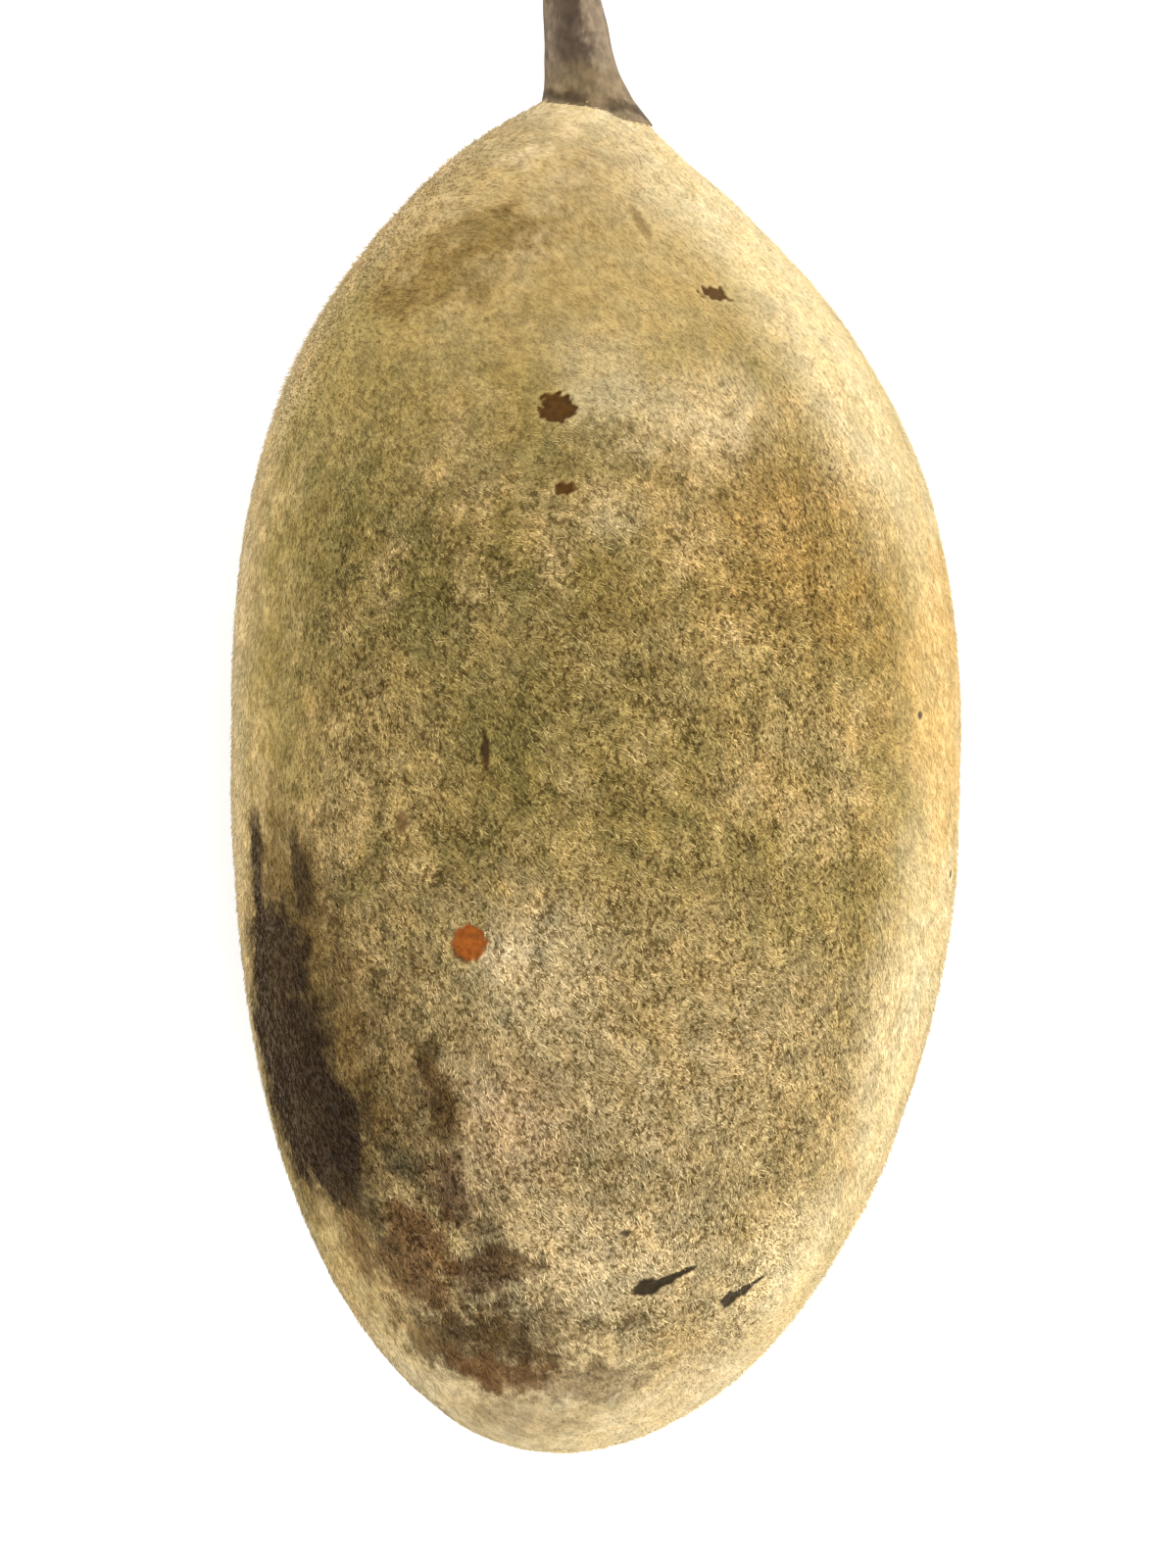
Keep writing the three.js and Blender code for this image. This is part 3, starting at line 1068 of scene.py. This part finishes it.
@dataclass
class PodShell:
    """The pod's shell: the round body with its lumps, scabs and resting spot.

    Attributes:
        form: the pod's form.
        sink: how far the shell lies below the outline, which leaves room for the hairs.
        steps: how many steps a full turn has.
        rings: how many rings each half has.
        lump: how far the broad lumps stand out.
        lump_size: how wide they are.
        ripple: how far the small ripples stand out.
        ripple_size: how wide they are.
        rest_height: how far the resting spot is off the floor.
        clearing: how far round a bare mark the felt is thin.
        fray_size: the size of the jags in a mark's edge.
        margin: how far round a mark the mesh is finer.
    """

    form: PodForm
    sink: float = 0.8 * MM
    steps: int = 250
    rings: int = 150
    lump: float = 0.4 * MM
    lump_size: float = 21 * MM
    ripple: float = 0.12 * MM
    ripple_size: float = 5 * MM
    rest_height: float = 0.05 * MM
    clearing: float = 0.75 * MM
    fray_size: float = 0.8 * MM
    margin: float = 1.0 * MM

    def outline(self) -> list[tuple[float, float]]:
        """Draws the shell's outline.

        Returns:
            Radius and place along the axis, from the blossom end to the crown.
        """
        points = []
        for i in range(self.rings):
            along = -self.form.tip_length * math.cos(i / self.rings * math.pi / 2)
            points.append((self.form.radius_at(along), along))
        for i in range(self.rings + 1):
            along = self.form.crown_at * i / self.rings
            points.append((self.form.radius_at(along), along))
        points.append((0.0, self.form.crown_at + self.form.crown_rise))
        return points

    def relief(self, point: Vector) -> float:
        """How far the shell stands out at a point, lumps only."""
        lump = self.lump * noise.noise(point / self.lump_size)
        return lump + self.ripple * noise.noise(point / self.ripple_size)

    def refine(self, bm: bmesh.types.BMesh) -> None:
        """Cuts the faces in and round the small marks finer, so that their edges are crisp.

        Args:
            bm: the shell's mesh.
        """
        wide = [patch.reach(self.form, self.margin) for patch in SHARP_PATCHES]
        near = {face for face in bm.faces if any(reach(face.calc_center_median()) < 1 for reach in wide)}
        # A list in the mesh's own order, because a set's order isn't the same on each run.
        edges = [edge for edge in bm.edges if not near.isdisjoint(edge.link_faces)]
        bmesh.ops.subdivide_edges(bm, edges=edges, cuts=3, use_grid_fill=True)

    def build(self) -> bpy.types.Object:
        """Builds the shell, with the attributes that hold its small marks and where its felt grows.

        Returns:
            The shell.
        """
        bm = lathe(self.outline(), self.steps)
        for vert in bm.verts:
            vert.co = self.form.settle(vert.co)
        tests = [(patch, patch.reach(self.form)) for patch in SHARP_PATCHES]
        bald = [patch.reach(self.form, self.clearing) for patch in SHARP_PATCHES]
        self.refine(bm)
        bm.normal_update()
        felt = bm.verts.layers.float.new(FELT)
        marks = bm.verts.layers.float_color.new(MARKS)
        moves = []
        for vert in bm.verts:
            vert[felt] = 1.0
            vert[marks] = (0.0, 0.0, 0.0, 0.0)
            rise = self.relief(vert.co) - self.sink
            for (patch, reach), clear in zip(tests, bald):
                out = reach(vert.co)
                if out < reach.far:
                    out += patch.ragged * noise.noise(vert.co / self.fray_size)
                    vert[felt] = min(vert[felt], patch.felt + smooth_step(0.9, 1.1, clear(vert.co)))
                    rise -= patch.pit * MM * (1 - smooth_step(0.75, 1.15, out))
                    share = patch.strength * (1 - smooth_step(1 - patch.edge, 1 + patch.edge, out))
                    if share >= vert[marks][3]:
                        vert[marks] = (*patch.dye.value, share)
            moves.append(vert.normal * rise)
        for vert, move in zip(bm.verts, moves):
            vert.co += move
            vert.co.z = max(vert.co.z, self.rest_height)
        return as_object(bm, "pod_shell")


@dataclass
class FeltCoat:
    """One coat of short felt hairs, grown over the shell.

    Attributes:
        tone: the felt's tone, which says where it is coarse.
        name: the coat's name.
        seed: what sets its random draws apart from the other coats'.
        strands: about how many hairs it has.
        length: a hair's mean length, in metres.
        width: a hair's width at its root, in metres.
        rise: how steeply it stands off the surface, against 1 along it.
        ruffle: how far each hair strays from the way the coat is combed.
        root: how deep a hair's foot is sunk into the shell, in metres.
        comb_turn: how far the comb is turned from the pod's length, in radians.
        comb_stray: how far it turns from place to place, in radians.
        comb_size: the size of the places over which it turns.
        cell_share: how much of its cell of the bake map one width of a hair takes up.
    """

    tone: FeltTone
    name: str
    seed: int
    strands: int = 47_000
    length: float = 1.25 * MM
    width: float = 0.26 * MM
    rise: float = 0.28
    ruffle: float = 0.5
    root: float = 0.12 * MM
    comb_turn: float = 0.75
    comb_stray: float = 2.4
    comb_size: float = 30 * MM
    cell_share: float = 0.85

    def strand(self) -> bpy.types.Object:
        """Models one hair, standing on the origin, with its own cell of a map.

        Returns:
            The hair.
        """
        bm = bmesh.new()
        bmesh.ops.create_cone(bm, cap_ends=True, segments=3, radius1=self.width / 2, radius2=0.0,
                              depth=self.length)
        bmesh.ops.remove_doubles(bm, verts=bm.verts, dist=WELD)
        bmesh.ops.recalc_face_normals(bm, faces=bm.faces)
        bmesh.ops.translate(bm, verts=bm.verts, vec=(0, 0, self.length / 2 - self.root))
        cell = bm.loops.layers.uv.new("cell")
        for face in bm.faces:
            for loop in face.loops:
                side = loop.vert.co / self.width
                loop[cell].uv = (0.5 + self.cell_share * side.x, 0.5 + self.cell_share * side.y)
        return as_object(bm, f"{self.name}_strand")

    def combed(self, graph: Graph, normal: Value) -> Value:
        """Combs the hairs.

        Args:
            graph: the coat's graph.
            normal: the way out of the surface at each hair.

        Returns:
            The way each hair points: along the coat's comb, off the surface, and a little astray.
        """
        place = graph.value("GeometryNodeInputPosition")
        turn = (graph.noise(place, self.comb_size, 1.0) - 0.5) * self.comb_stray + self.comb_turn
        comb = graph.vector(turn.apply("SINE"), turn.apply("COSINE") * -1.0, 0.0)
        lay = comb - normal * normal.dot(comb)
        settings = {"data_type": "FLOAT_VECTOR"}
        astray = graph.value("FunctionNodeRandomValue", settings,
                             {"Min": -1.0, "Max": 1.0, "Seed": self.seed + 1})
        loose = self.tone.coarse(graph, place).span(0.45, 1.0)
        return normal * self.rise * loose + lay + astray * self.ruffle * loose

    def random(self, graph: Graph, low: float, high: float, offset: int) -> Value:
        """A random number for each hair.

        Args:
            graph: the coat's graph.
            low: the lowest number.
            high: the highest number.
            offset: what sets this draw apart from the coat's others.

        Returns:
            The number.
        """
        values = {"Min": low, "Max": high, "Seed": self.seed + offset}
        node = graph.node("FunctionNodeRandomValue", {"data_type": "FLOAT"}, values)
        return Value(graph, next(s for s in node.outputs if s.enabled))

    def planted(self, graph: Graph, skin: bpy.types.Object, strand: bpy.types.Object) -> Value:
        """Scatters hairs over the skin, each turned and scaled by chance.

        Args:
            graph: the coat's graph.
            skin: the shell that they grow on.
            strand: the hair that is repeated.

        Returns:
            The hairs.
        """
        area = sum(face.area for face in skin.data.polygons)
        ground = graph.value("GeometryNodeObjectInfo", values={"Object": skin}, output="Geometry")
        felt = graph.value("GeometryNodeInputNamedAttribute", {"data_type": "FLOAT"}, {"Name": FELT})
        sown = graph.node("GeometryNodeDistributePointsOnFaces", {"distribute_method": "RANDOM"},
                          {"Mesh": ground, "Density": felt * (self.strands / area), "Seed": self.seed})
        way = self.combed(graph, Value(graph, sown.outputs["Normal"]))
        aim = graph.value("FunctionNodeAlignRotationToVector", {"axis": "Z"}, {"Vector": way})
        spin = graph.vector(0.0, 0.0, self.random(graph, 0.0, math.tau, 2))
        spun = graph.value("FunctionNodeRotateRotation", {"rotation_space": "LOCAL"},
                           {"Rotation": aim, "Rotate By": spin})
        place = graph.value("GeometryNodeInputPosition")
        thick = self.random(graph, 0.65, 1.25, 3) * self.tone.coarse(graph, place).span(0.7, 1.0)
        size = graph.vector(thick, thick, self.random(graph, 0.55, 1.35, 4) * thick.span(0.3, 1.0))
        hair = graph.value("GeometryNodeObjectInfo", values={"Object": strand}, output="Geometry")
        return graph.value("GeometryNodeInstanceOnPoints", values={
            "Points": Value(graph, sown.outputs["Points"]),
            "Instance": hair,
            "Rotation": spun,
            "Scale": size,
        })

    def grow(self, skin: bpy.types.Object) -> bpy.types.Object:
        """Grows the coat.

        Args:
            skin: the shell that it grows on.

        Returns:
            The coat as one mesh, in which each hair has a cell of the bake map to itself.
        """
        strand = self.strand()
        tree = bpy.data.node_groups.new(self.name, "GeometryNodeTree")
        tree.interface.new_socket("Geometry", in_out="OUTPUT", socket_type="NodeSocketGeometry")
        graph = Graph(tree)
        hairs = self.planted(graph, skin, strand)
        hairs = graph.value("GeometryNodeStoreNamedAttribute", {"data_type": "INT", "domain": "INSTANCE"},
                            {"Geometry": hairs, "Name": "strand",
                             "Value": graph.value("GeometryNodeInputIndex")})
        hairs = graph.value("GeometryNodeStoreNamedAttribute", {"data_type": "FLOAT", "domain": "INSTANCE"},
                            {"Geometry": hairs, "Name": SHADE, "Value": self.random(graph, 0.0, 1.0, 5)})
        hairs = graph.value("GeometryNodeRealizeInstances", values={"Geometry": hairs})
        hairs = self.mapped(graph, hairs)
        place = graph.value("GeometryNodeInputPosition")
        pressed = graph.vector(place.axis("X"), place.axis("Y"), place.axis("Z").maximum(0.0))
        hairs = graph.value("GeometryNodeSetPosition", values={"Geometry": hairs, "Position": pressed})
        graph.node("NodeGroupOutput", values={0: hairs})
        coat = bpy.data.objects.new(self.name, bpy.data.meshes.new(self.name))
        bpy.context.scene.collection.objects.link(coat)
        coat.modifiers.new("grow", "NODES").node_group = tree
        finished = coat.evaluated_get(bpy.context.evaluated_depsgraph_get())
        coat.data = bpy.data.meshes.new_from_object(finished)
        coat.data.name = self.name
        coat.modifiers.clear()
        bpy.data.objects.remove(strand)
        bpy.data.node_groups.remove(tree)
        return coat

    def mapped(self, graph: Graph, hairs: Value) -> Value:
        """Stores the bake map, with a cell for each hair, and drops what it was made from.

        Args:
            graph: the coat's graph.
            hairs: the hairs.

        Returns:
            The hairs with their map.
        """
        columns = math.ceil(math.sqrt(self.strands * 1.05))
        number = graph.node("GeometryNodeInputNamedAttribute", {"data_type": "INT"}, {"Name": "strand"})
        index = Value(graph, next(s for s in number.outputs if s.enabled))
        cell = graph.value("GeometryNodeInputNamedAttribute", {"data_type": "FLOAT_VECTOR"},
                           {"Name": "cell"})
        column = index % columns
        row = (index / columns).apply("FLOOR")
        spot = (graph.vector(column, row, 0.0) + cell) / columns
        hairs = graph.value("GeometryNodeStoreNamedAttribute",
                            {"data_type": "FLOAT2", "domain": "CORNER"},
                            {"Geometry": hairs, "Name": BAKE_MAP, "Value": spot})
        for name in ("strand", "cell"):
            hairs = graph.value("GeometryNodeRemoveAttribute",
                                values={"Geometry": hairs, "Name": name})
        return hairs


@dataclass(frozen=True)
class StalkForm:
    """The stalk's shank, its flare at the seat and its slanted cut."""

    shank: float = 3.8 * MM
    flare: float = 3.2 * MM
    flare_fade: float = 6.6 * MM
    flare_bias: float = 0.2
    seat_at: float = 94.3 * MM
    seat_x: float = -1.6 * MM
    lean: float = 0.115
    bow: float = 2.2
    end: float = 136 * MM
    cut_angle: float = 0.24
    axis_height: float = 0.0

    def flare_at(self, along: float) -> float:
        """How much the flare adds to the shank."""
        return self.flare * math.exp(-(along - self.seat_at) / self.flare_fade)

    def settle(self, straight: Vector) -> Vector:
        """Moves a point of a straight stalk about the Y axis to its place on the real one.

        Args:
            straight: the point on the straight stalk.

        Returns:
            The point on the leaning, bowed stalk.
        """
        along = straight.y - self.seat_at
        side = self.seat_x - self.lean * along + self.flare_bias * self.flare_at(straight.y)
        return Vector((
            straight.x + side,
            straight.y,
            straight.z + self.bow * max(0.0, along) ** 2 + self.axis_height,
        ))

    @property
    def cut_middle(self) -> Vector:
        """The middle of the cut end."""
        return self.settle(Vector((0.0, self.end, 0.0)))

    @property
    def cut_way(self) -> Vector:
        """The way the cut end faces."""
        return Vector((-math.sin(self.cut_angle), math.cos(self.cut_angle), 0.0))


@dataclass
class Stalk:
    """The cut length of stalk that stays on the pod.

    Attributes:
        form: the stalk's form.
        root: how deep it is seated in the pod.
        steps: how many steps a full turn has.
        rings: how many rings its length has.
        wrinkle: how far the wrinkles stand out.
        wrinkle_wide: how wide they are, in millimetres.
        wrinkle_long: how long they are, in millimetres.
        knob: how far the low knobs stand out.
        knob_size: how wide they are.
        worn: how wide the worn edge round the cut is.
    """

    form: StalkForm
    root: float = 2.2 * MM
    steps: int = 96
    rings: int = 110
    wrinkle: float = 0.16 * MM
    wrinkle_wide: float = 1.3
    wrinkle_long: float = 14
    knob: float = 0.3 * MM
    knob_size: float = 6 * MM
    worn: float = 0.3 * MM

    def outline(self) -> list[tuple[float, float]]:
        """Draws the stalk's outline.

        Returns:
            Radius and place along, from inside the pod to past the cut.
        """
        start = self.form.seat_at - self.root
        end = self.form.end + 3 * self.form.shank
        points = [(0.0, start)]
        for i in range(self.rings + 1):
            along = start + (end - start) * i / self.rings
            points.append((self.form.shank + self.form.flare_at(along), along))
        points.append((0.0, end))
        return points

    def relief(self, point: Vector) -> float:
        """How far the bark stands out at a point: long wrinkles and low knobs."""
        wide, long = self.wrinkle_wide, self.wrinkle_long
        wrinkle = noise.noise(Vector((point.x / wide, point.y / long, point.z / wide)) / MM)
        knob = noise.noise(point / self.knob_size)
        return self.wrinkle * wrinkle + self.knob * knob

    def build(self) -> bpy.types.Object:
        """Builds the stalk, with its end cut at a slant and a worn edge round the cut.

        Returns:
            The stalk.
        """
        bm = lathe(self.outline(), self.steps)
        for vert in bm.verts:
            vert.co = self.form.settle(vert.co)
        bm.normal_update()
        moves = [vert.normal * self.relief(vert.co) for vert in bm.verts]
        for vert, move in zip(bm.verts, moves):
            vert.co += move
        cut = bmesh.ops.bisect_plane(bm, geom=[*bm.verts, *bm.edges, *bm.faces],
                                     plane_co=self.form.cut_middle, plane_no=self.form.cut_way,
                                     clear_outer=True)
        rim = [edge for edge in cut["geom_cut"] if isinstance(edge, bmesh.types.BMEdge)]
        bmesh.ops.holes_fill(bm, edges=rim)
        bmesh.ops.bevel(bm, geom=rim, offset=self.worn, segments=2, profile=0.5, affect="EDGES",
                        material=-1)
        return as_object(bm, "stalk_bark")


# ---------------------------------------------------------------------------------------------
# The studio
# ---------------------------------------------------------------------------------------------


@dataclass(frozen=True)
class Lamp:
    """A soft, square studio light that shines at the pod."""

    name: str
    place: Vector
    size: float
    power: float

    def hang(self, target: Vector) -> None:
        """Puts the light in the scene.

        Args:
            target: the point that it is aimed at.
        """
        light = bpy.data.lights.new(self.name, "AREA")
        light.shape = "SQUARE"
        light.size = self.size
        light.energy = self.power
        lamp = bpy.data.objects.new(self.name, light)
        lamp.location = self.place
        lamp.rotation_euler = (target - self.place).to_track_quat("-Z", "Y").to_euler()
        bpy.context.scene.collection.objects.link(lamp)


@dataclass(frozen=True)
class Studio:
    """A pale floor, soft lights and the camera that looks down on the pod.

    Attributes:
        form: the pod's form.
        floor_size: how long each side of the floor is.
        floor_tones: how pale the floor's paper is where it is dimmest and where it is palest.
        floor_cloud: the size of the changes between them.
        camera_distance: how high the camera hangs over the pod's axis.
        view_height: how tall the view is, measured at the pod's axis.
        view_x: where the middle of the view is, across the pod.
        sensor: the width of the camera's sensor, in millimetres.
        sky: how bright the pale sky is.
    """

    form: PodForm
    floor_size: float = 6.0
    floor_tones: tuple[float, float] = (0.86, 0.88)
    floor_cloud: float = 0.3
    camera_distance: float = 1.0
    view_height: float = 0.2192
    view_x: float = -1.1 * MM
    sensor: float = 36.0
    sky: float = 1.3

    def lay_floor(self) -> None:
        """Lays the floor."""
        bm = bmesh.new()
        bmesh.ops.create_grid(bm, x_segments=8, y_segments=8, size=self.floor_size / 2)
        floor = as_object(bm, "floor")
        finish = Finish("floor_paper", {"Roughness": 0.9, "Specular IOR Level": 0.1})
        grain = finish.noise(finish.place, self.floor_cloud, 2.0)
        dim, pale = ((tone, tone, tone) for tone in self.floor_tones)
        floor.data.materials.append(finish.dress(finish.mix(dim, pale, grain)))

    def light(self) -> None:
        """Lights the pod from a pale sky and from soft lights, the strongest low on its right."""
        world = bpy.data.worlds.new("studio")
        bpy.context.scene.world = world
        world.use_nodes = True
        sky = world.node_tree.nodes["Background"]
        sky.inputs["Color"].default_value = (1.0, 1.0, 1.0, 1.0)
        sky.inputs["Strength"].default_value = self.sky
        target = Vector((0.0, 0.0, self.form.axis_height))
        lamps = (
            Lamp("key", Vector((1.05, -0.25, 0.5)), 0.8, 15.0),
            Lamp("fill", Vector((-1.1, 0.1, 0.45)), 0.8, 6.0),
            Lamp("top", Vector((0.1, 0.2, 1.7)), 1.0, 9.0),
        )
        for lamp in lamps:
            lamp.hang(target)

    def set_camera(self) -> None:
        """Hangs the camera over the pod, with the stalk towards the top of the picture."""
        lens = bpy.data.cameras.new("camera")
        lens.sensor_width = self.sensor
        lens.lens = self.sensor * self.camera_distance / self.view_height
        camera = bpy.data.objects.new("camera", lens)
        camera.location = (self.view_x, 0.0, self.form.axis_height + self.camera_distance)
        bpy.context.scene.collection.objects.link(camera)
        bpy.context.scene.camera = camera

    def build(self) -> None:
        """Builds the studio."""
        self.lay_floor()
        self.light()
        self.set_camera()
        bpy.context.scene.view_settings.view_transform = "Standard"


def main() -> None:
    """Builds every piece in order and reports it."""
    logging.basicConfig(level=logging.INFO, format="%(message)s")
    form = PodForm.from_box(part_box("pod"))
    Studio(form).build()

    tone = FeltTone(form)
    shell = PodShell(form).build()
    put_on_frame(shell, SkinFinish(tone).material(), "pod")
    hair = HairFinish(tone).material()
    for number in range(1, COATS + 1):
        coat = FeltCoat(tone, f"felt_coat_{number}", seed=number * 10).grow(shell)
        put_on_frame(coat, hair, "pod")

    stalk_form = StalkForm(axis_height=form.axis_height)
    stalk = Stalk(stalk_form).build()
    put_on_frame(stalk, BarkFinish(stalk_form).material(), "stalk")


if __name__ == "__main__":
    main()
